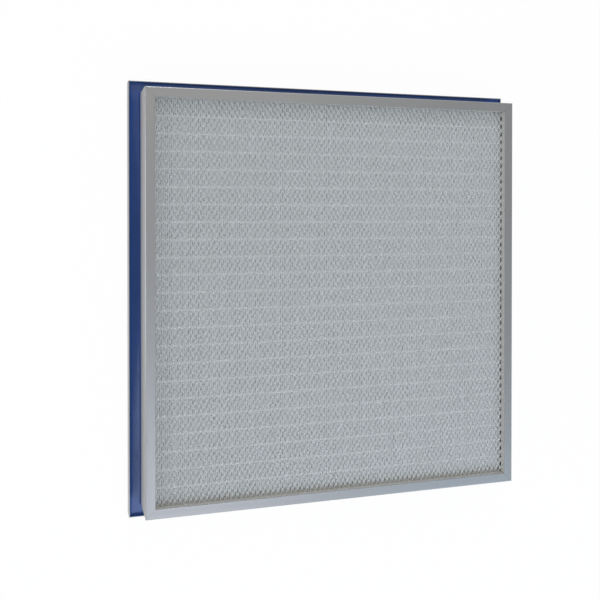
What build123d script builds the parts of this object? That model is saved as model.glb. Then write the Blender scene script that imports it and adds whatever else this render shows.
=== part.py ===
from build123d import *
import os

# Gel-seal pleated panel filter, lying on its back with its guarded face up.
# X is the width, Y the height of the panel when it stands, Z its depth.
# The origin is the centre of the face that it rests on. All sizes are in millimetres.

# Body of the frame, measured over its outer walls
body_width = 584.0
body_height = 610.0
body_depth = 90.0

# Frame extrusion: one wall with a hollow lip along each edge
wall = 1.5
lip_width = 14.0
lip_depth = 9.0
lip_wall = 1.2
lip_round = 1.2
lip_inner_round = 0.5

# Trough on the outside of the frame, with its mouth towards the guarded face
trough_reach = 17.5
trough_depth = 25.0
trough_wall = 1.3
rim_round = 0.4

# Gel poured into the trough, drawn up a little along both walls
gel_below_rim = 6.0
gel_meniscus = 1.0

# Corner keys pushed into the hollow lips, with notches for the crimps
key_leg = 38.0
key_clearance = 0.2
key_notch = 5.0
key_notch_depth = 1.5
key_notch_from_tip = 9.0
key_tip_chamfer = 1.5

# Expanded metal guards, with a plain border that the frame holds
guard_thickness = 1.6
guard_clearance = 0.5
guard_border = 12.5
guard_columns = 10
guard_rows = 6
guard_strand = 5.0

# Pleated media and what holds its four sides
pack_depth = 60.0
pleat_pitch = 3.0
media_thickness = 0.45
potting_end = 12.0
potting_side_least = 8.0

# Beads of glue that run across the folds and keep them apart
bead_spacing = 25.4
bead_width = 2.4
bead_height = 0.9

# Heights and inner sizes that follow from the values above
inner_width = body_width - 2 * wall
inner_height = body_height - 2 * wall
front_guard_z = body_depth - lip_depth - guard_thickness
rear_guard_z = lip_depth
potting_bottom = rear_guard_z + guard_thickness
potting_height = front_guard_z - potting_bottom
pack_bottom = potting_bottom + (potting_height - pack_depth) / 2
pack_top = pack_bottom + pack_depth
pack_length = inner_height - 2 * potting_end
pleat_count = int((inner_width - 2 * potting_side_least) / pleat_pitch)
pack_width = pleat_count * pleat_pitch + media_thickness
potting_side = (inner_width - pack_width) / 2

# Each side as seen from the bottom one: half its length, how far its outer wall
# stands from the middle, and the turn that brings it to its place
sides = {
    "bottom": (body_width / 2, body_height / 2, 0),
    "right": (body_height / 2, body_width / 2, 90),
    "top": (body_width / 2, body_height / 2, 180),
    "left": (body_height / 2, body_width / 2, 270),
}


def mitred(section, half_length, half_across, turn):
    """Run a section along one side of the frame and cut both ends at 45 degrees.

    In the section, x is the distance outwards from the outer wall and y is the
    height above the rear face.
    """
    run = half_length + trough_reach
    end = Plane(origin=(run, -half_across, 0), x_dir=(0, -1, 0), z_dir=(-1, 0, 0))
    bar = extrude(end * section, amount=2 * run)
    reach_in = lip_width + wall
    plan = Polyline(
        (-run, -half_across - trough_reach),
        (run, -half_across - trough_reach),
        (half_length - reach_in, reach_in - half_across),
        (reach_in - half_length, reach_in - half_across),
        close=True,
    )
    wedge = extrude(make_face(plan), amount=body_depth)
    return (bar & wedge).rotate(Axis.Z, turn)


def frame_section():
    """Cross-section of the extrusion: wall, two hollow lips and the trough."""
    top = body_depth
    outline = Polyline(
        (-lip_width, 0),
        (trough_reach, 0),
        (trough_reach, trough_depth),
        (trough_reach - trough_wall, trough_depth),
        (trough_reach - trough_wall, trough_wall),
        (0, trough_wall),
        (0, top),
        (-lip_width, top),
        (-lip_width, top - lip_depth),
        (-wall, top - lip_depth),
        (-wall, lip_depth),
        (-lip_width, lip_depth),
        close=True,
    )
    section = make_face(outline)
    lip_edges = section.vertices().filter_by_position(Axis.Y, top, top).sort_by(Axis.X)
    section = fillet(lip_edges[-1], lip_round)
    lip_edges = section.vertices().filter_by_position(Axis.Y, top, top).sort_by(Axis.X)
    section = fillet(lip_edges[0], lip_inner_round)
    rim_edges = section.vertices().filter_by_position(Axis.Y, trough_depth, trough_depth)
    section = fillet(rim_edges, rim_round)
    chamber = Rectangle(lip_width - lip_wall - wall, lip_depth - 2 * lip_wall)
    chamber_x = (lip_wall - lip_width - wall) / 2
    for chamber_y in (lip_depth / 2, top - lip_depth / 2):
        section -= Pos(chamber_x, chamber_y) * chamber
    return section


def gel_section():
    """Cross-section of the gel, filling the trough up to its curved surface."""
    far = trough_reach - trough_wall
    surface = trough_depth - gel_below_rim
    bed = Polyline((0, surface), (0, trough_wall), (far, trough_wall), (far, surface))
    dip = ThreePointArc((far, surface), (far / 2, surface - gel_meniscus), (0, surface))
    return make_face([*bed.edges(), dip])


def gel_seal():
    """One ring of gel all the way round the frame."""
    runs = [mitred(gel_section(), *side) for side in sides.values()]
    return runs[0] + runs[1:]


def corner_key():
    """Angle piece for one hollow lip, its outer corner at the origin."""
    across = lip_width - lip_wall - wall - 2 * key_clearance
    tall = lip_depth - 2 * (lip_wall + key_clearance)
    plan = Polyline(
        (0, 0),
        (key_leg, 0),
        (key_leg, across),
        (across, across),
        (across, key_leg),
        (0, key_leg),
        close=True,
    )
    key = extrude(make_face(plan), amount=tall)
    tips = key.edges().filter_by(Axis.Z).sort_by(Axis.X)[-2:]
    tips += key.edges().filter_by(Axis.Z).sort_by(Axis.Y)[-2:]
    key = chamfer(tips, key_tip_chamfer)
    notch_at = key_leg - key_notch_from_tip
    notch = Box(key_notch, 2 * key_notch_depth, 3 * tall)
    key -= Pos(notch_at, across, 0) * notch
    key -= Pos(across, notch_at, 0) * notch.rotate(Axis.Z, 90)
    return key


def corner_keys():
    """Eight keys: one in each lip at each corner of the frame."""
    from_wall = wall + key_clearance
    x = body_width / 2 - from_wall
    y = body_height / 2 - from_wall
    corners = {
        "bottom_left": (-x, -y, 0),
        "bottom_right": (x, -y, 90),
        "top_right": (x, y, 180),
        "top_left": (-x, y, 270),
    }
    lips = {"rear": 0, "front": body_depth - lip_depth}
    keys = {}
    for lip, lip_z in lips.items():
        for corner, (key_x, key_y, turn) in corners.items():
            key_z = lip_z + lip_wall + key_clearance
            key = corner_key().rotate(Axis.Z, turn)
            keys[f"corner_key_{lip}_{corner}"] = Pos(key_x, key_y, key_z) * key
    return keys


def guard():
    """Expanded metal sheet: staggered diamonds in a plain border."""
    sheet_width = inner_width - 2 * guard_clearance
    sheet_height = inner_height - 2 * guard_clearance
    step_x = (sheet_width - 2 * guard_border) / guard_columns
    step_y = (sheet_height - 2 * guard_border) / guard_rows
    slope = (step_x**2 + step_y**2) ** 0.5
    half_x = step_x / 2 - guard_strand * slope / step_y / 2
    half_y = step_y / 2 - guard_strand * slope / step_x / 2
    opening = make_face(
        Polyline((half_x, 0), (0, half_y), (-half_x, 0), (0, -half_y), close=True)
    )
    full_rows = GridLocations(step_x, step_y, guard_columns, guard_rows)
    between_rows = GridLocations(step_x, step_y, guard_columns - 1, guard_rows - 1)
    sheet = Rectangle(sheet_width, sheet_height)
    sheet -= [place * opening for place in full_rows]
    sheet -= [place * opening for place in between_rows]
    return extrude(sheet, amount=guard_thickness)


def media_pack():
    """One sheet of media folded to and fro, its folds running up the panel."""
    t = media_thickness
    half_pitch = pleat_pitch / 2
    above = []
    below = []
    for pleat in range(pleat_count):
        x = pleat * pleat_pitch - pack_width / 2
        above += [(x, pack_bottom + t), (x, pack_top)]
        above += [(x + half_pitch + t, pack_top), (x + half_pitch + t, pack_bottom + t)]
        below += [(x + t, pack_bottom), (x + t, pack_top - t)]
        below += [(x + half_pitch, pack_top - t), (x + half_pitch, pack_bottom)]
    last = pack_width / 2
    above += [(last, pack_bottom + t)]
    below[0] = (-last, pack_bottom)
    below += [(last, pack_bottom)]
    outline = Polyline(*above, *reversed(below), close=True)
    end = Plane(origin=(0, pack_length / 2, 0), x_dir=(1, 0, 0), z_dir=(0, -1, 0))
    return extrude(end * make_face(outline), amount=pack_length)


def glue_beads(height):
    """Parallel beads lying across the folds, their underside at one height."""
    count = int(pack_length / bead_spacing)
    bead = Box(pack_width, bead_width, bead_height, align=(Align.CENTER, Align.CENTER, Align.MIN))
    rows = GridLocations(0, bead_spacing, 1, count)
    return Compound([Pos(0, 0, height) * place * bead for place in rows])


def potting_strip(length_x, length_y):
    """Cast strip that bonds one side of the media pack to the frame."""
    align = (Align.CENTER, Align.CENTER, Align.MIN)
    return Pos(0, 0, potting_bottom) * Box(length_x, length_y, potting_height, align=align)


def build():
    """Every piece of the filter by name."""
    pieces = {}
    for name, side in sides.items():
        pieces[f"frame_{name}"] = mitred(frame_section(), *side)
    pieces["gel_seal"] = gel_seal()
    pieces.update(corner_keys())
    pieces["guard_front"] = Pos(0, 0, front_guard_z) * guard()
    pieces["guard_rear"] = Pos(0, 0, rear_guard_z) * guard()
    pieces["media_pack"] = media_pack()
    pieces["glue_beads_front"] = glue_beads(pack_top)
    pieces["glue_beads_rear"] = glue_beads(pack_bottom - bead_height)
    end_y = (inner_height - potting_end) / 2
    side_x = (inner_width - potting_side) / 2
    pieces["potting_top"] = Pos(0, end_y, 0) * potting_strip(inner_width, potting_end)
    pieces["potting_bottom"] = Pos(0, -end_y, 0) * potting_strip(inner_width, potting_end)
    pieces["potting_left"] = Pos(-side_x, 0, 0) * potting_strip(potting_side, pack_length)
    pieces["potting_right"] = Pos(side_x, 0, 0) * potting_strip(potting_side, pack_length)
    return pieces


os.makedirs("parts", exist_ok=True)
for node, solid in build().items():
    export_step(solid, f"parts/{node}.step")
    print(node, round(solid.volume))
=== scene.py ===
# %% [markdown]
# A pleated panel filter with a gel seal
#
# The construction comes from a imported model: four frame sides, gel, keys, guards, folded media
# and potting. This notebook dresses it. It sets up the view and the light, gives every piece a
# procedural finish, and models the pieces whose true form is too fine for the construction: the
# expanded metal of both guards, the folded paper, the glue beads and the surface of the gel.

# %% Load the frame and measure it
import bmesh
import bpy
import math
from mathutils import Matrix, Vector


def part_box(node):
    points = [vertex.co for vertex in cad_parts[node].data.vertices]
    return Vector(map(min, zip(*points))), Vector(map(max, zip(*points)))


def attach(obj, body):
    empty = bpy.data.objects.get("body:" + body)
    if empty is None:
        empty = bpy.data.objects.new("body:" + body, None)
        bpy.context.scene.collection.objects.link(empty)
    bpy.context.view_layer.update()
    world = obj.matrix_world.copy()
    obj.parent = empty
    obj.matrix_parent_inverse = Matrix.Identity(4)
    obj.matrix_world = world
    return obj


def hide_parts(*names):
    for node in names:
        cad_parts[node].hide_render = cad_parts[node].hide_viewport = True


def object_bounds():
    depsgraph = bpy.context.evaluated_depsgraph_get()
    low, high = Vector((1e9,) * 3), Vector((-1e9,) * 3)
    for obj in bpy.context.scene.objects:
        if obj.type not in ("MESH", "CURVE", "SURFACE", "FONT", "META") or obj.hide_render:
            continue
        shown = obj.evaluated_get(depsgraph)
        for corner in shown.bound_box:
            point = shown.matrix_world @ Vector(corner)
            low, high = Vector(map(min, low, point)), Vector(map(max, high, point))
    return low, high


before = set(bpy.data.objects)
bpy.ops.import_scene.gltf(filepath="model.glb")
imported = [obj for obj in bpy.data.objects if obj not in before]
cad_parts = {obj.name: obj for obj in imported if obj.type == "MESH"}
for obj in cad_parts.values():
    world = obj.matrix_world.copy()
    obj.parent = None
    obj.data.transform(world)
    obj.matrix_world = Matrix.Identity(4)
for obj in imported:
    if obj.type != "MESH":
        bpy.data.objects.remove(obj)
cad_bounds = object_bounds()
low, high = cad_bounds

MM = 0.001
BODY_WIDTH = 584.0 * MM
BODY_HEIGHT = 610.0 * MM
front_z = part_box("frame_top")[1][2]
mesh_low, mesh_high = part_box("guard_front")
rear_mesh_low, rear_mesh_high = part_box("guard_rear")
pack_low, pack_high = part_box("media_pack")
gel_low, gel_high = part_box("gel_seal")
print("box of the construction", [round(v, 4) for v in low], [round(v, 4) for v in high])

# %% [markdown]
# The view
#
# The panel lies on its back, so the camera looks down on it. It stands to the left of the panel
# and a little towards its top edge, turned so that the panel's left wall and its trough show. The
# photograph keeps upright edges parallel, which a level camera with a small vertical shift gives.

# %% Camera
CAMERA_AT = Vector((-0.4071, 0.1206, 1.2204))
YAW_DEG = 16.81
PITCH_DEG = 0.52
LENS_MM = 47.8
SENSOR_MM = 36.0
SHIFT_UP = -0.125

forward = Vector((
    math.sin(math.radians(YAW_DEG)),
    -math.sin(math.radians(PITCH_DEG)),
    -math.cos(math.radians(YAW_DEG)),
))
camera_data = bpy.data.cameras.new("camera")
camera_data.lens = LENS_MM
camera_data.sensor_width = SENSOR_MM
camera_data.shift_y = SHIFT_UP
camera = bpy.data.objects.new("camera", camera_data)
bpy.context.scene.collection.objects.link(camera)
camera.location = CAMERA_AT
right = forward.cross(Vector((0, 1, 0))).normalized()
upward = right.cross(forward)
camera.rotation_euler = Matrix((right, upward, -forward)).transposed().to_euler()
bpy.context.scene.camera = camera
bpy.context.scene.view_settings.view_transform = "Standard"
print("camera stands", round(CAMERA_AT.z - front_z, 3), "m above the guarded face")

# %% [markdown]
# Colours
#
# Colours are given as seen on a screen, in the usual 0 to 255 steps, while the shaders work with
# linear light. One small function turns the first into the second.

# %% Colour helper
def screen(red, green, blue):
    """Turn a colour as seen on a screen into the linear colour that shaders use."""
    def linear(step):
        """The same for one of the three colours."""
        part = step / 255
        if part <= 0.04045:
            return part / 12.92
        return ((part + 0.055) / 1.055) ** 2.4
    return (linear(red), linear(green), linear(blue), 1.0)


print("middle grey is", round(screen(128, 128, 128)[0], 3), "in linear light")

# %% [markdown]
# Floor and light
#
# The object is shown on plain white. A white floor lit to exactly white would need too much light
# on the object, so most of the floor's brightness is an emission that shows to the camera and in
# reflections but doesn't light matt surfaces. The rest is an ordinary diffuse floor, which keeps
# the shadow. The world is split in the same way. Node trees need a little arithmetic, so a helper
# for that comes first.

# %% Node arithmetic
def calculate(tree, operation, *values):
    """The result of a math node; each value is a socket to link or a number to set."""
    node = tree.nodes.new("ShaderNodeMath")
    node.operation = operation
    for slot, value in zip(node.inputs, values):
        if isinstance(value, float):
            slot.default_value = value
        else:
            tree.links.new(value, slot)
    return node.outputs[0]


def seen_directly(tree):
    """1 for what the camera sees, also in a mirror or through glass, and 0 for light itself."""
    path = tree.nodes.new("ShaderNodeLightPath")
    seen = path.outputs["Is Camera Ray"]
    for ray in ("Is Glossy Ray", "Is Transmission Ray"):
        seen = calculate(tree, "MAXIMUM", seen, path.outputs[ray])
    return seen


print("node helpers ready")

# %% World
WORLD_LEVEL = 0.40
WORLD_TINT = (1.0, 0.99, 0.99, 1.0)
WHITE = (1.0, 1.0, 1.0, 1.0)

world = bpy.data.worlds.new("studio")
bpy.context.scene.world = world
world.use_nodes = True
tree = world.node_tree
tree.nodes.clear()
soft = tree.nodes.new("ShaderNodeBackground")
soft.inputs["Color"].default_value = WORLD_TINT
soft.inputs["Strength"].default_value = WORLD_LEVEL
white = tree.nodes.new("ShaderNodeBackground")
white.inputs["Color"].default_value = WHITE
white.inputs["Strength"].default_value = 1.0
sky = tree.nodes.new("ShaderNodeMixShader")
tree.links.new(seen_directly(tree), sky.inputs["Fac"])
tree.links.new(soft.outputs[0], sky.inputs[1])
tree.links.new(white.outputs[0], sky.inputs[2])
world_out = tree.nodes.new("ShaderNodeOutputWorld")
tree.links.new(sky.outputs[0], world_out.inputs["Surface"])
print("world level", WORLD_LEVEL)

# %% Floor
FLOOR_SIZE = 14.0
FLOOR_GLOW = 0.96
FLOOR_TINT = (0.9, 0.9, 0.9, 1.0)

bpy.ops.object.select_all(action="DESELECT")
bpy.ops.mesh.primitive_plane_add(size=FLOOR_SIZE, location=(0, 0, low[2]))
floor = bpy.context.object
floor.name = "floor"
floor_look = bpy.data.materials.new("floor_white")
floor_look.use_nodes = True
tree = floor_look.node_tree
tree.nodes.clear()
plain = tree.nodes.new("ShaderNodeBsdfDiffuse")
plain.inputs["Color"].default_value = FLOOR_TINT
glow = tree.nodes.new("ShaderNodeEmission")
glow.inputs["Color"].default_value = WHITE
both = tree.nodes.new("ShaderNodeMixShader")
tree.links.new(calculate(tree, "MULTIPLY", seen_directly(tree), FLOOR_GLOW), both.inputs["Fac"])
tree.links.new(plain.outputs[0], both.inputs[1])
tree.links.new(glow.outputs[0], both.inputs[2])
floor_out = tree.nodes.new("ShaderNodeOutputMaterial")
tree.links.new(both.outputs[0], floor_out.inputs["Surface"])
floor.data.materials.append(floor_look)
print("floor at", round(low[2], 4))

# %% [markdown]
# The lamps
#
# The photograph was lit unevenly: warm from above, cooler and brighter towards the bottom edge.
# Each lamp is a soft square that faces the middle of the panel, so no hard shadow falls. The
# smallest stands beyond the top edge and draws the line of light along the rounded lip there.

# %% Lamps
def softbox(name, at, size, energy, colour):
    """A square area lamp that faces the middle of the panel."""
    data = bpy.data.lights.new(name, "AREA")
    data.shape = "SQUARE"
    data.size = size
    data.energy = energy
    data.color = colour
    lamp = bpy.data.objects.new(name, data)
    bpy.context.scene.collection.objects.link(lamp)
    lamp.location = at
    lamp.rotation_euler = (-Vector(at)).to_track_quat("-Z", "Y").to_euler()


softbox("warm_above_top_edge", (0.15, 1.0, 2.0), 1.4, 7.2, (1.0, 0.90, 0.74))
softbox("cool_beyond_top_edge", (-0.1, 1.9, 1.0), 0.4, 9.0, (0.86, 0.90, 1.0))
softbox("cool_above_bottom_edge", (-0.1, -1.0, 1.7), 1.0, 14.5, (0.83, 0.88, 1.0))
softbox("low_from_left", (-1.8, 0.0, 0.55), 0.9, 9.5, (0.96, 1.0, 0.99))
softbox("cool_from_bottom_right", (1.1, -1.2, 1.5), 0.9, 8.5, (0.55, 0.78, 1.0))
print(len(bpy.data.lights), "lamps")

# %% [markdown]
# Shared shader effects
#
# Drawn metal has fine lines along its length, and every large surface is a little uneven in tone.
# Both effects are used by several materials, so each is a node group with named inputs. They read
# the object's own coordinates, so that nothing slides when the view turns.

# %% Node group helpers
def new_group(name, inputs, outputs):
    """A shader node group with float or vector sockets, and its two end nodes."""
    group = bpy.data.node_groups.new(name, "ShaderNodeTree")
    kinds = {"float": "NodeSocketFloat", "vector": "NodeSocketVector"}
    for socket, kind, value in inputs:
        item = group.interface.new_socket(name=socket, in_out="INPUT", socket_type=kinds[kind])
        if kind == "float":
            item.default_value = value
    for socket, kind in outputs:
        group.interface.new_socket(name=socket, in_out="OUTPUT", socket_type=kinds[kind])
    return group, group.nodes.new("NodeGroupInput"), group.nodes.new("NodeGroupOutput")


print("groups can have float and vector sockets")

# %% Streaks along drawn metal
streaks, ends_in, ends_out = new_group(
    "draw_lines",
    [("Vector", "vector", None), ("Detail", "float", 3.0)],
    [("Streak", "float"), ("Broad", "float")],
)
fine = streaks.nodes.new("ShaderNodeTexNoise")
fine.inputs["Scale"].default_value = 1.0
fine.inputs["Roughness"].default_value = 0.6
streaks.links.new(ends_in.outputs["Vector"], fine.inputs["Vector"])
streaks.links.new(ends_in.outputs["Detail"], fine.inputs["Detail"])
wide = streaks.nodes.new("ShaderNodeTexNoise")
wide.inputs["Scale"].default_value = 0.16
wide.inputs["Detail"].default_value = 2.0
streaks.links.new(ends_in.outputs["Vector"], wide.inputs["Vector"])
streaks.links.new(fine.outputs["Fac"], ends_out.inputs["Streak"])
streaks.links.new(wide.outputs["Fac"], ends_out.inputs["Broad"])
print("group", streaks.name)

# %% Uneven tone
MIDDLE = 0.5

mottle, ends_in, ends_out = new_group(
    "uneven_tone",
    [("Vector", "vector", None), ("Scale", "float", 20.0), ("Contrast", "float", 1.0)],
    [("Mask", "float")],
)
cloud = mottle.nodes.new("ShaderNodeTexNoise")
cloud.inputs["Detail"].default_value = 4.0
mottle.links.new(ends_in.outputs["Vector"], cloud.inputs["Vector"])
mottle.links.new(ends_in.outputs["Scale"], cloud.inputs["Scale"])
centred = calculate(mottle, "SUBTRACT", cloud.outputs["Fac"], MIDDLE)
mask = calculate(mottle, "MULTIPLY_ADD", centred, ends_in.outputs["Contrast"], MIDDLE)
mask.node.use_clamp = True
mottle.links.new(mask, ends_out.inputs["Mask"])
print("group", mottle.name)

# %% Material helpers
def new_material(name, roughness, metallic=0.0):
    """A material with a Principled shader and its own coordinates, ready for a pattern."""
    look = bpy.data.materials.new(name)
    look.use_nodes = True
    tree = look.node_tree
    shader = tree.nodes["Principled BSDF"]
    shader.inputs["Roughness"].default_value = roughness
    shader.inputs["Metallic"].default_value = metallic
    coordinates = tree.nodes.new("ShaderNodeTexCoord")
    return look, tree, shader, coordinates.outputs["Object"]


def use_group(tree, group, vector, **values):
    """Place a node group and set its float inputs by name."""
    node = tree.nodes.new("ShaderNodeGroup")
    node.node_tree = group
    tree.links.new(vector, node.inputs["Vector"])
    for socket, value in values.items():
        node.inputs[socket].default_value = value
    return node


def stretched(tree, vector, scale):
    """Scale coordinates by a different factor along each axis."""
    mapping = tree.nodes.new("ShaderNodeMapping")
    mapping.inputs["Scale"].default_value = scale
    tree.links.new(vector, mapping.inputs["Vector"])
    return mapping.outputs["Vector"]


def two_tones(tree, factor, first, second):
    """Blend two colours by a mask."""
    mix = tree.nodes.new("ShaderNodeMix")
    mix.data_type = "RGBA"
    tree.links.new(factor, mix.inputs["Factor"])
    for socket, colour in (("A", first), ("B", second)):
        if isinstance(colour, tuple):
            mix.inputs[socket].default_value = colour
        else:
            tree.links.new(colour, mix.inputs[socket])
    return mix.outputs["Result"]


def range_of(tree, value, low_value, high_value):
    """Map a 0 to 1 mask to a range of values."""
    node = tree.nodes.new("ShaderNodeMapRange")
    node.inputs["To Min"].default_value = low_value
    node.inputs["To Max"].default_value = high_value
    tree.links.new(value, node.inputs["Value"])
    return node.outputs["Result"]


def bump(tree, shader, height, distance, strength):
    """Let a mask stand out of the surface by a distance in metres."""
    node = tree.nodes.new("ShaderNodeBump")
    node.inputs["Distance"].default_value = distance
    node.inputs["Strength"].default_value = strength
    tree.links.new(height, node.inputs["Height"])
    tree.links.new(node.outputs["Normal"], shader.inputs["Normal"])


print("groups that materials can use:", [group.name for group in bpy.data.node_groups])

# %% [markdown]
# Places on the frame
#
# Some marks on the frame depend on where they are: a paler matt tone on its upright walls and on
# the inner walls of the lips, which is painted light that makes these walls as bright as the lit
# front, the blue film that the gel leaves above its surface, the polish and a painted highlight on
# the rounded front edge, and the hairline of each mitre. The distance outwards from the body's
# side planes tells the walls apart, the height tells how far a mark goes up, and a mitre is where
# both distances are equal.

# %% Frame places
LIP_WIDTH = 14.0 * MM
TROUGH_INSIDE = gel_high[0] - BODY_WIDTH / 2
TROUGH_REACH = high[0] - BODY_WIDTH / 2
EDGE_ROUND = 1.2 * MM
EDGE_SHARE = 0.9
WALL_LIGHT_FROM = 22.0 * MM
RIM_LIGHT_SPAN = (0.5 * MM, 24.0 * MM)
LIP_LIGHT_BELOW = 0.6 * MM
FILM_TOP = 23.8 * MM
FILM_FADE = 1.2 * MM
MITRE_LINE = 0.4 * MM
SKIN = 0.05 * MM
FADE = 0.4 * MM
SHARP = 0.12 * MM
MARKS = ("Web", "Inner", "Film", "Mitre", "Edge")

frame_places, ends_in, ends_out = new_group(
    "frame_places",
    [("Vector", "vector", None)],
    [(mark, "float") for mark in MARKS],
)
print("marks on the frame:", MARKS)


# %% Distances on the frame
def sum_node(operation, *values):
    """The result of a math node in the group of places."""
    return calculate(frame_places, operation, *values)


def between(value, start, end, soft=SHARP):
    """1 where a value lies between two limits and 0 elsewhere, with soft ends outside them."""
    rising = frame_places.nodes.new("ShaderNodeMapRange")
    rising.inputs["From Min"].default_value = start - soft
    rising.inputs["From Max"].default_value = start
    falling = frame_places.nodes.new("ShaderNodeMapRange")
    falling.inputs["From Min"].default_value = end + soft
    falling.inputs["From Max"].default_value = end
    for node in (rising, falling):
        frame_places.links.new(value, node.inputs["Value"])
    return sum_node("MULTIPLY", rising.outputs["Result"], falling.outputs["Result"])


split = frame_places.nodes.new("ShaderNodeSeparateXYZ")
frame_places.links.new(ends_in.outputs["Vector"], split.inputs["Vector"])
out_x = sum_node("SUBTRACT", sum_node("ABSOLUTE", split.outputs["X"]), BODY_WIDTH / 2)
out_y = sum_node("SUBTRACT", sum_node("ABSOLUTE", split.outputs["Y"]), BODY_HEIGHT / 2)
outwards = sum_node("MAXIMUM", out_x, out_y)
height = split.outputs["Z"]
apart = sum_node("ABSOLUTE", sum_node("SUBTRACT", out_x, out_y))
print("distances outwards, up and from the mitres")


# %% Marks on the frame
def at_wall(distance):
    """1 on a wall that stands at one distance outwards from the body's side planes."""
    return between(outwards, distance - SKIN, distance + SKIN)


body_wall = at_wall(0.0)
body_part = between(height, WALL_LIGHT_FROM, front_z - EDGE_ROUND - FADE, FADE)
# Web: the upright walls, which carry a paler tone as painted light.
web = sum_node(
    "MAXIMUM",
    sum_node("MULTIPLY", body_wall, body_part),
    sum_node("MULTIPLY", at_wall(TROUGH_REACH), between(height, *RIM_LIGHT_SPAN, FADE)),
)
# Inner: the inner walls of the lips, painted lighter where they lie in shade.
inner = sum_node("MULTIPLY", at_wall(-LIP_WIDTH), between(height, 0.0, front_z - LIP_LIGHT_BELOW))
film = sum_node(
    "MULTIPLY",
    sum_node("MAXIMUM", body_wall, at_wall(TROUGH_INSIDE)),
    between(height, 0.0, FILM_TOP, FILM_FADE),
)
mitre = between(apart, -MITRE_LINE, SHARP, MITRE_LINE)
# Edge: the rounded front edge, which is polished and also carries a painted highlight.
edge = sum_node(
    "MULTIPLY",
    between(outwards, -EDGE_SHARE * EDGE_ROUND, SKIN),
    between(height, front_z - EDGE_SHARE * EDGE_ROUND, front_z),
)
for mark, mask in zip(MARKS, (web, inner, film, mitre, edge)):
    frame_places.links.new(mask, ends_out.inputs[mark])
print("group", frame_places.name, len(frame_places.nodes), "nodes")

# %% [markdown]
# Frame finish
#
# The frame is satin anodised extrusion. Its draw lines run along each side, so the sides that run
# across the panel and the sides that run up it need the same finish with the lines turned.

# %% Frame tones
FINE_LINES = 1400.0
ALONG = 6.0
SATIN_DARK = screen(120, 121, 122)
SATIN_LIGHT = screen(132, 133, 134)
# Painted light: a paler tone on the upright walls, as if more light fell on them.
WALL_PAINTED_LIGHT = screen(172, 170, 167)
# Painted light: a paler tone on the inner walls of the lips, which lie in shade.
INNER_WALL_PAINTED_LIGHT = screen(198, 198, 194)
GEL_FILM = screen(40, 88, 168)
# Painted highlight: a lighter tone on the rounded front edge, where light catches it.
EDGE_PAINTED_HIGHLIGHT = screen(152, 154, 158)
MITRE_DARK = screen(102, 103, 104)
# Tints in order: painted highlight on the edge, painted light on the walls and the lips' inner
# walls, gel film.
TINTS = (("Edge", EDGE_PAINTED_HIGHLIGHT), ("Web", WALL_PAINTED_LIGHT), ("Inner", INNER_WALL_PAINTED_LIGHT), ("Film", GEL_FILM))
CLOUD_SHARE = 0.10
CLOUD_TONES = (0.4, 1.0)
METALLIC = (0.6, 0.08)
GLOSS = (0.34, 0.48)
EDGE_POLISH = 0.17
LINE_RISE = 0.02 * MM
print("tints laid over the bare metal, in order:", [mark for mark, tint in TINTS])


# %% Frame material
def frame_finish(name, scale):
    """Satin metal with its draw lines along one axis, and the marks on its walls and edges, among
    them painted light on the walls and a painted highlight on the rounded edge.
    """
    look, tree, shader, place = new_material(name, roughness=0.4)
    lines = use_group(tree, streaks, stretched(tree, place, scale), Detail=3.0)
    tone = use_group(tree, mottle, place, Scale=9.0, Contrast=1.6)
    marks = use_group(tree, frame_places, place)
    colour = two_tones(tree, lines.outputs["Streak"], SATIN_DARK, SATIN_LIGHT)
    for mark, tint in TINTS:
        colour = two_tones(tree, marks.outputs[mark], colour, tint)
    mix = tree.nodes.new("ShaderNodeMix")
    mix.data_type = "RGBA"
    mix.blend_type = "MULTIPLY"
    mix.inputs["Factor"].default_value = CLOUD_SHARE
    tree.links.new(colour, mix.inputs["A"])
    tree.links.new(range_of(tree, tone.outputs["Mask"], *CLOUD_TONES), mix.inputs["B"])
    joined = two_tones(tree, marks.outputs["Mitre"], mix.outputs["Result"], MITRE_DARK)
    tree.links.new(joined, shader.inputs["Base Color"])
    # The walls with painted light and the gel film are made less metallic.
    matt = calculate(tree, "ADD", marks.outputs["Web"], marks.outputs["Inner"])
    matt_or_filmed = calculate(tree, "ADD", matt, marks.outputs["Film"])
    tree.links.new(range_of(tree, matt_or_filmed, *METALLIC), shader.inputs["Metallic"])
    satin = range_of(tree, lines.outputs["Broad"], *GLOSS)
    polished = calculate(tree, "MULTIPLY_ADD", marks.outputs["Edge"], -EDGE_POLISH, satin)
    tree.links.new(polished, shader.inputs["Roughness"])
    bump(tree, shader, lines.outputs["Streak"], LINE_RISE, strength=0.5)
    return look


frame_across = frame_finish("frame_lines_across", (ALONG, FINE_LINES, FINE_LINES))
frame_upright = frame_finish("frame_lines_upright", (FINE_LINES, ALONG, FINE_LINES))
print("frame materials:", frame_across.name, "and", frame_upright.name)


# %% Dress the frame
def dress(node_name, look):
    """Give a carried-over piece of the construction its finish."""
    piece = bpy.data.objects[node_name]
    piece.data.materials.clear()
    piece.data.materials.append(look)


for side in ("bottom", "top"):
    dress(f"frame_{side}", frame_across)
for side in ("left", "right"):
    dress(f"frame_{side}", frame_upright)
print("the four sides are dressed")

# %% [markdown]
# Keys, potting, glue and the guards' coat
#
# Four finishes differ only in tone, gloss and grain: cast metal keys, cream potting, white hot
# melt glue and the thin grey coat on the guards. Each has a cloudy change of tone, the same
# change in its gloss, and a grain that stands out a few hundredths of a millimetre.

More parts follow.
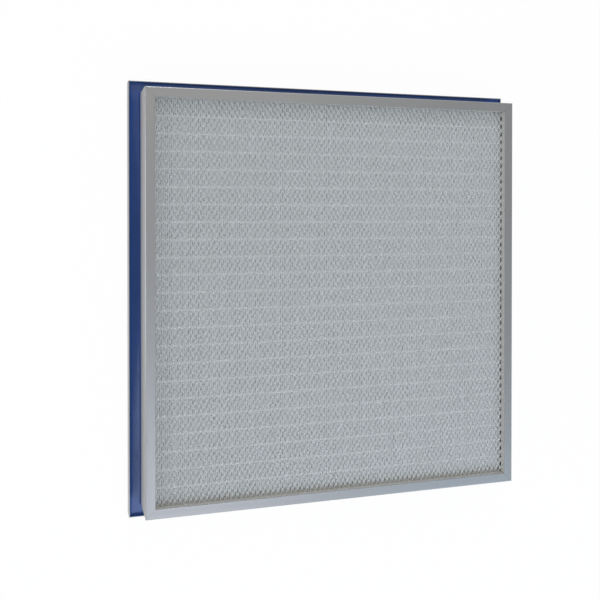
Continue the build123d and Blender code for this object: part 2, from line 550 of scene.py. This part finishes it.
# %% Cloudy finishes
def cloudy_finish(name, tones, roughness, cloud_scale, grain_scale, rise, metallic=0.0):
    """A finish that wanders between two tones and two levels of gloss, with a fine grain."""
    look, tree, shader, place = new_material(name, roughness[0], metallic)
    tone = use_group(tree, mottle, place, Scale=cloud_scale, Contrast=2.0)
    grain = use_group(tree, mottle, place, Scale=grain_scale, Contrast=2.0)
    tree.links.new(two_tones(tree, tone.outputs["Mask"], *tones), shader.inputs["Base Color"])
    tree.links.new(range_of(tree, tone.outputs["Mask"], *roughness), shader.inputs["Roughness"])
    bump(tree, shader, grain.outputs["Mask"], rise, strength=0.4)
    return look


key_metal = cloudy_finish(
    "key_cast",
    tones=(screen(150, 150, 150), screen(170, 170, 170)),
    roughness=(0.42, 0.58),
    cloud_scale=60.0,
    grain_scale=900.0,
    rise=0.06 * MM,
    metallic=0.9,
)
potting_resin = cloudy_finish(
    "potting_resin",
    tones=(screen(206, 204, 188), screen(220, 218, 204)),
    roughness=(0.28, 0.45),
    cloud_scale=45.0,
    grain_scale=250.0,
    rise=0.05 * MM,
)
print("finishes of hidden pieces:", key_metal.name, "and", potting_resin.name)

# %% Glue and guard finishes
glue_white = cloudy_finish(
    "glue_white",
    tones=(screen(240, 242, 241), screen(248, 249, 248)),
    roughness=(0.28, 0.42),
    cloud_scale=90.0,
    grain_scale=500.0,
    rise=0.05 * MM,
)
guard_coat = cloudy_finish(
    "guard_coat",
    tones=(screen(167, 170, 170), screen(172, 175, 175)),
    roughness=(0.48, 0.62),
    cloud_scale=25.0,
    grain_scale=1500.0,
    rise=0.02 * MM,
)
print("finishes of seen pieces:", glue_white.name, "and", guard_coat.name)

# %% Dress the keys and the potting
for name in list(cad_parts):
    if name.startswith("corner_key"):
        dress(name, key_metal)
    if name.startswith("potting"):
        dress(name, potting_resin)
print("keys and potting are dressed")

# %% [markdown]
# Glass fibre paper
#
# The paper is matt and nearly white, with short fibres pressed into it. Deeper than the last few
# millimetres of each fold it is painted lighter, which is painted light standing in for the light
# that bounces between the folds; the last millimetres keep a greyer, slightly uneven tone. The
# distance from the middle of the pack draws that change.

# %% Paper material
TIP_TONE_DEPTH = 3.0 * MM
FOLD_TIP_TONES = (screen(209, 212, 212), screen(213, 216, 216))
# Painted light: the paper deep between the folds is lighter than at the fold tips.
DEEP_FOLD_PAINTED_LIGHT = screen(250, 251, 251)
FIBRE_SCALE = (900.0, 300.0, 900.0)
FIBRE_RISE = 0.05 * MM
PAPER_GLOSS = (0.82, 0.98)

pack_middle = (pack_low[2] + pack_high[2]) / 2
half_pack = (pack_high[2] - pack_low[2]) / 2
media_paper, tree, shader, place = new_material("media_paper", roughness=0.9)
split = tree.nodes.new("ShaderNodeSeparateXYZ")
tree.links.new(place, split.inputs["Vector"])
from_middle = calculate(tree, "SUBTRACT", split.outputs["Z"], pack_middle)
at_fold = tree.nodes.new("ShaderNodeMapRange")
at_fold.inputs["From Min"].default_value = half_pack - TIP_TONE_DEPTH
at_fold.inputs["From Max"].default_value = half_pack
tree.links.new(calculate(tree, "ABSOLUTE", from_middle), at_fold.inputs["Value"])
tip_mottle = use_group(tree, mottle, place, Scale=30.0, Contrast=1.5)
tip_tone = two_tones(tree, tip_mottle.outputs["Mask"], *FOLD_TIP_TONES)
# Painted light deep in the folds, the greyer mottled tone at the fold tips.
colour = two_tones(tree, at_fold.outputs["Result"], DEEP_FOLD_PAINTED_LIGHT, tip_tone)
tree.links.new(colour, shader.inputs["Base Color"])
fibres = use_group(tree, streaks, stretched(tree, place, FIBRE_SCALE), Detail=4.0)
tree.links.new(range_of(tree, fibres.outputs["Streak"], *PAPER_GLOSS), shader.inputs["Roughness"])
bump(tree, shader, fibres.outputs["Streak"], FIBRE_RISE, strength=0.5)
print("paper greys over the last", round(TIP_TONE_DEPTH / MM, 1), "mm of each fold")

# %% [markdown]
# Gel material
#
# The gel is soft silicone, clear blue in a thin film and deep blue in the trough. Its skin is
# glossy but not quite level: a slow ripple is left from pouring, and some patches look duller.

# %% Gel material
GEL_TONES = (screen(24, 64, 125), screen(36, 76, 143))
GEL_GLOSS = (0.26, 0.16)
RIPPLE_RISE = 0.3 * MM

gel_blue, tree, shader, place = new_material("gel_blue", roughness=0.2)
shader.inputs["Specular IOR Level"].default_value = 0.25
tone = use_group(tree, mottle, place, Scale=14.0, Contrast=1.8)
colour = two_tones(tree, tone.outputs["Mask"], *GEL_TONES)
tree.links.new(colour, shader.inputs["Base Color"])
tree.links.new(range_of(tree, tone.outputs["Mask"], *GEL_GLOSS), shader.inputs["Roughness"])
ripple = use_group(tree, mottle, place, Scale=45.0, Contrast=1.0)
bump(tree, shader, ripple.outputs["Mask"], RIPPLE_RISE, strength=0.3)
print("gel material", gel_blue.name)

# %% [markdown]
# Modelling helpers
#
# Each new piece starts from a primitive and is shaped in edit mode. Operators act on what is
# selected, so these helpers clear the selection and then pick points or edges by their place.

# %% Names and picking
def begin():
    """Clear the selection, so that the next operator acts on the new piece alone."""
    bpy.ops.object.select_all(action="DESELECT")


def name_piece(name):
    """Name the piece that was just added, and its mesh."""
    piece = bpy.context.object
    piece.name = name
    piece.data.name = name
    return piece


def pick(test, kind="VERT"):
    """In edit mode, select the points or edges whose every corner passes a test."""
    bpy.ops.mesh.select_mode(type=kind)
    bpy.ops.mesh.select_all(action="DESELECT")
    shape = bmesh.from_edit_mesh(bpy.context.object.data)
    parts = shape.verts if kind == "VERT" else shape.edges
    for part in parts:
        corners = [part] if kind == "VERT" else part.verts
        part.select_set(all(test(corner.co) for corner in corners))
    bmesh.update_edit_mesh(bpy.context.object.data)


print("pieces can be named and their points picked")


# %% Shaping
WELD = 0.02 * MM
ROW_AT = 0.5


def pull(x, y, z):
    """Extrude what is selected by a distance along each axis."""
    bpy.ops.mesh.extrude_region_move(TRANSFORM_OT_translate={"value": (x, y, z)})


def repeat(piece, count, step):
    """Array a piece along one step, its copies welded where they meet."""
    array = piece.modifiers.new("repeat", "ARRAY")
    array.count = count
    array.use_relative_offset = False
    array.use_constant_offset = True
    array.constant_offset_displace = step
    array.use_merge_vertices = True
    array.merge_threshold = WELD
    bpy.ops.object.modifier_apply(modifier=array.name)


def thicken(piece, thickness):
    """Give a sheet its thickness, half of it on each side."""
    wall = piece.modifiers.new("thickness", "SOLIDIFY")
    wall.thickness = thickness
    wall.offset = 0.0
    bpy.ops.object.modifier_apply(modifier=wall.name)


def point_row(name, parts, length):
    """Half a grid, left in edit mode: a row of points along Y that stands ROW_AT left of X = 0."""
    begin()
    bpy.ops.mesh.primitive_grid_add(x_subdivisions=1, y_subdivisions=parts, size=1.0)
    piece = name_piece(name)
    bpy.ops.object.mode_set(mode="EDIT")
    pick(lambda co: co.x > 0)
    bpy.ops.mesh.delete(type="VERT")
    bpy.ops.mesh.select_all(action="SELECT")
    bpy.ops.transform.resize(value=(1.0, length, 1.0))
    return piece


def smooth(degrees):
    """Shade round every edge that is flatter than an angle."""
    bpy.ops.object.shade_smooth_by_angle(angle=math.radians(degrees))


def report_piece(piece):
    """Print how many triangles a finished piece has."""
    piece.data.calc_loop_triangles()
    print(piece.name, len(piece.data.loop_triangles), "triangles")


print("points closer than", round(WELD / MM, 2), "mm are welded")

# %% [markdown]
# Expanded metal guards
#
# Expanded metal is one sheet, slit in staggered rows and pulled open. What is left between the
# slits stays as short tilted bonds, and from each bond two strands run up to the next row. So one
# bond with its two strands is modelled, a second is set half a mesh over, and the pair is arrayed.
# Across the panel the sheet is centred on its bonds. Up the panel its last strands reach further
# than its last bonds, so it is set a little lower there, which makes both ends even.

# %% Mesh sizes
MESH_WIDTH = 7.62 * MM
MESH_LENGTH = 12.7 * MM
STRAND_WIDTH = 1.45 * MM
BOND_LENGTH = 2.6 * MM
BOND_RISE = 0.5 * MM
SHEET_THICKNESS = 0.5 * MM
MESHES_ACROSS = 74
MESHES_UP = 47
STAGGER = 0.5
EVEN_ENDS = 0.2
BOND_END = 0.4 * BOND_LENGTH
HALF_ACROSS = (MESHES_ACROSS - STAGGER) / 2 * MESH_WIDTH
HALF_UP = (MESHES_UP - EVEN_ENDS) / 2 * MESH_LENGTH
print("each guard has", 2 * MESHES_ACROSS * MESHES_UP, "bonds")


# %% Guards
def expanded_metal(name, middle_z, tilt):
    """A sheet of expanded metal centred on the panel; tilt is 1 or -1."""
    begin()
    bpy.ops.mesh.primitive_grid_add(x_subdivisions=2, y_subdivisions=1, size=1.0)
    piece = name_piece(name)
    bpy.ops.object.mode_set(mode="EDIT")
    bpy.ops.transform.resize(value=(2 * STRAND_WIDTH, BOND_LENGTH, 1.0))
    rise = tilt * BOND_RISE
    half = STRAND_WIDTH / 2
    for side in (-1, 1):
        pick(lambda co: side * co.x > half)
        bpy.ops.transform.translate(value=(0, 0, side * rise))
    across = MESH_WIDTH / 2 - STRAND_WIDTH
    up = MESH_LENGTH / 2 - BOND_LENGTH
    for side in (-1, 1):
        pick(lambda co: BOND_END < co.y < BOND_LENGTH and side * co.x > -half, "EDGE")
        pull(side * across, up, -side * rise)
    bpy.ops.mesh.select_all(action="SELECT")
    half_mesh = (MESH_WIDTH / 2, MESH_LENGTH / 2, 0)
    bpy.ops.mesh.duplicate_move(TRANSFORM_OT_translate={"value": half_mesh})
    bpy.ops.mesh.select_all(action="SELECT")
    bpy.ops.mesh.remove_doubles(threshold=WELD)
    bpy.ops.transform.translate(value=(-HALF_ACROSS, -HALF_UP, middle_z))
    bpy.ops.object.mode_set(mode="OBJECT")
    repeat(piece, MESHES_ACROSS, (MESH_WIDTH, 0, 0))
    repeat(piece, MESHES_UP, (0, MESH_LENGTH, 0))
    thicken(piece, SHEET_THICKNESS)
    piece.data.materials.append(guard_coat)
    report_piece(piece)
    return piece


front_middle = (mesh_low[2] + mesh_high[2]) / 2
rear_middle = (rear_mesh_low[2] + rear_mesh_high[2]) / 2
front_mesh = expanded_metal("front_expanded_metal", front_middle, 1)
rear_mesh = expanded_metal("rear_expanded_metal", rear_middle, -1)
for piece, node in ((front_mesh, "guard_front"), (rear_mesh, "guard_rear")):
    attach(piece, "root")
    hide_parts(node)

# %% [markdown]
# Folded media
#
# The paper is one sheet folded to and fro, with soft round folds. One pleat is drawn by extruding
# a line of points through its outline: up one leg, over the fold, down the other leg and round
# the next fold. It is arrayed across the panel, made uneven by a slow noise, and thickened. Each
# fold is wider than half a pleat, so the legs lean in a little below it.

# %% Fold sizes
PLEAT = 3.0 * MM
PAPER = 0.4 * MM
FOLD_RADIUS = 1.1 * MM
FOLD_STEPS = 4
PAPER_ROWS = 23
NOISE_SIZE = 60.0 * MM
NOISE_SHIFT = 0.9 * MM

pleats = int((pack_high[0] - pack_low[0]) / PLEAT)
leg_height = 2 * half_pack - PAPER - 2 * FOLD_RADIUS
leg_lean = PLEAT / 2 - 2 * FOLD_RADIUS


def fold_steps(up):
    """Small steps round half a turn, over a fold (up is 1) or under one (up is -1)."""
    turns = [math.pi * step / FOLD_STEPS for step in range(FOLD_STEPS + 1)]
    points = [(-FOLD_RADIUS * math.cos(turn), up * FOLD_RADIUS * math.sin(turn)) for turn in turns]
    return [(b[0] - a[0], b[1] - a[1]) for a, b in zip(points, points[1:])]


up_and_over = [(leg_lean, leg_height)] + fold_steps(1)
down_and_under = [(leg_lean, -leg_height)] + fold_steps(-1)
print(pleats, "pleats, each drawn in", len(up_and_over + down_and_under), "steps")

# %% Folded sheet
media = point_row("folded_media", PAPER_ROWS, pack_high[1] - pack_low[1])
first_x = pack_low[0] + PAPER / 2
first_z = pack_low[2] + PAPER / 2 + FOLD_RADIUS
bpy.ops.transform.translate(value=(ROW_AT + first_x, 0, first_z))
for step_x, step_z in up_and_over + down_and_under:
    pull(step_x, 0, step_z)
bpy.ops.object.mode_set(mode="OBJECT")
repeat(media, pleats, (PLEAT, 0, 0))
noise = bpy.data.textures.new("uneven_folds", "CLOUDS")
noise.noise_scale = NOISE_SIZE
shift = media.modifiers.new("uneven", "DISPLACE")
shift.texture = noise
shift.direction = "X"
shift.strength = NOISE_SHIFT
shift.mid_level = 0.5
bpy.ops.object.modifier_apply(modifier=shift.name)
thicken(media, PAPER)
smooth(degrees=60)
media.data.materials.append(media_paper)
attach(media, "root")
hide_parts("media_pack")
report_piece(media)

# %% [markdown]
# Separator beads
#
# A thread of hot glue is laid across the folds before they close. It stands a little proud of
# each fold and sinks between them, so a bead looks like a string of small drops. A short row of
# points is lifted to an arch, first the three inner points and then the middle one, and led over
# one fold and through the dip beside it. That is arrayed, and a bridge between its two long edges
# closes it underneath.

# %% Bead sizes
BEAD_SPACING = 25.4 * MM
BEAD_HALF_WIDTH = 1.8 * MM
BEAD_SINK = 1.2 * MM
BEAD_PARTS = 4
BEAD_SIDE = 0.9 * BEAD_HALF_WIDTH
ARCH = ((0.7, 0.55), (0.1, 0.45))
RUN = ((0.9 * MM, 0.0), (0.6 * MM, -0.5 * MM), (0.9 * MM, 0.0), (0.6 * MM, 0.5 * MM))
print("one pleat of bead is", round(sum(step_x for step_x, step_z in RUN) / MM, 1), "mm long")


# %% Glue beads
def pick_sides(middle_y):
    """Select the two long open edges of a bead, which its underside joins."""
    bpy.ops.mesh.select_mode(type="EDGE")
    bpy.ops.mesh.select_all(action="DESELECT")
    shape = bmesh.from_edit_mesh(bpy.context.object.data)
    for edge in shape.edges:
        away = [abs(corner.co.y - middle_y) > BEAD_SIDE for corner in edge.verts]
        edge.select_set(edge.is_boundary and all(away))
    bmesh.update_edit_mesh(bpy.context.object.data)


def glue_beads(name, node, up):
    """Rows of beads on one face of the pack; up is 1 at the front and -1 at the rear."""
    node_low, node_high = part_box(node)
    rows = round((node_high[1] - node_low[1]) / BEAD_SPACING) + 1
    crest = node_high[2] if up > 0 else node_low[2]
    seat = node_low[2] if up > 0 else node_high[2]
    piece = point_row(name, BEAD_PARTS, 2 * BEAD_HALF_WIDTH)
    drop = abs(crest - seat) + BEAD_SINK
    first_y = -(rows - 1) / 2 * BEAD_SPACING
    bpy.ops.transform.translate(value=(ROW_AT + node_low[0], first_y, seat - up * BEAD_SINK))
    for share, rise in ARCH:
        pick(lambda co: abs(co.y - first_y) < share * BEAD_HALF_WIDTH)
        bpy.ops.transform.translate(value=(0, 0, up * drop * rise))
    bpy.ops.mesh.select_all(action="SELECT")
    for step_x, step_z in RUN:
        pull(step_x, 0, up * step_z)
    bpy.ops.object.mode_set(mode="OBJECT")
    repeat(piece, pleats, (PLEAT, 0, 0))
    bpy.ops.object.mode_set(mode="EDIT")
    pick_sides(first_y)
    bpy.ops.mesh.bridge_edge_loops()
    bpy.ops.mesh.select_all(action="SELECT")
    bpy.ops.mesh.fill_holes(sides=0)
    bpy.ops.object.mode_set(mode="OBJECT")
    repeat(piece, rows, (0, BEAD_SPACING, 0))
    bpy.ops.object.mode_set(mode="EDIT")
    bpy.ops.mesh.select_all(action="SELECT")
    bpy.ops.mesh.normals_make_consistent(inside=False)
    bpy.ops.object.mode_set(mode="OBJECT")
    smooth(degrees=50)
    piece.data.materials.append(glue_white)
    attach(piece, "root")
    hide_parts(node)
    report_piece(piece)


glue_beads("front_glue_lines", "glue_beads_front", 1)
glue_beads("rear_glue_lines", "glue_beads_rear", -1)

# %% [markdown]
# Gel
#
# The gel is poured as a liquid, so its surface is level, and it creeps up a little at both walls.
# A plane of the ring's outer size is inset again and again, each time a little lower or higher,
# which draws the curved surface with clean corners. The middle is deleted and the ring extruded.

# %% Surface of the gel
CREEP = 1.4 * MM
CREEP_REACH = 2.0 * MM
INSETS = (0.4, 0.6, 0.9, 1.4, 2.2, 3.1)

level = gel_high[2]
shares = INSETS + INSETS[::-1]
steps = [share * TROUGH_INSIDE / sum(shares) for share in shares]


def surface_height(from_wall):
    """Height of the gel surface above its lowest line, by the distance from the nearer wall."""
    return CREEP * math.exp(-from_wall / CREEP_REACH)


print("the surface is drawn in", len(steps), "insets")

# %% Poured ring
begin()
bpy.ops.mesh.primitive_plane_add(size=1.0)
gel = name_piece("poured_gel")
bpy.ops.object.mode_set(mode="EDIT")
bpy.ops.transform.resize(value=(gel_high[0] - gel_low[0], gel_high[1] - gel_low[1], 1.0))
bpy.ops.transform.translate(value=(0, 0, level))
travelled = 0.0
for step in steps:
    before = surface_height(min(travelled, TROUGH_INSIDE - travelled))
    travelled += step
    after = surface_height(max(min(travelled, TROUGH_INSIDE - travelled), 0.0))
    bpy.ops.mesh.inset(thickness=step, depth=after - before, use_even_offset=True)
bpy.ops.mesh.delete(type="ONLY_FACE")
bpy.ops.mesh.select_all(action="SELECT")
pull(0, 0, gel_low[2] - level)
bpy.ops.transform.resize(value=(1, 1, 0), center_override=(0, 0, gel_low[2]))
bpy.ops.mesh.select_all(action="SELECT")
bpy.ops.mesh.normals_make_consistent(inside=False)
bpy.ops.object.mode_set(mode="OBJECT")
smooth(degrees=50)
gel.data.materials.append(gel_blue)
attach(gel, "root")
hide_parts("gel_seal")
report_piece(gel)
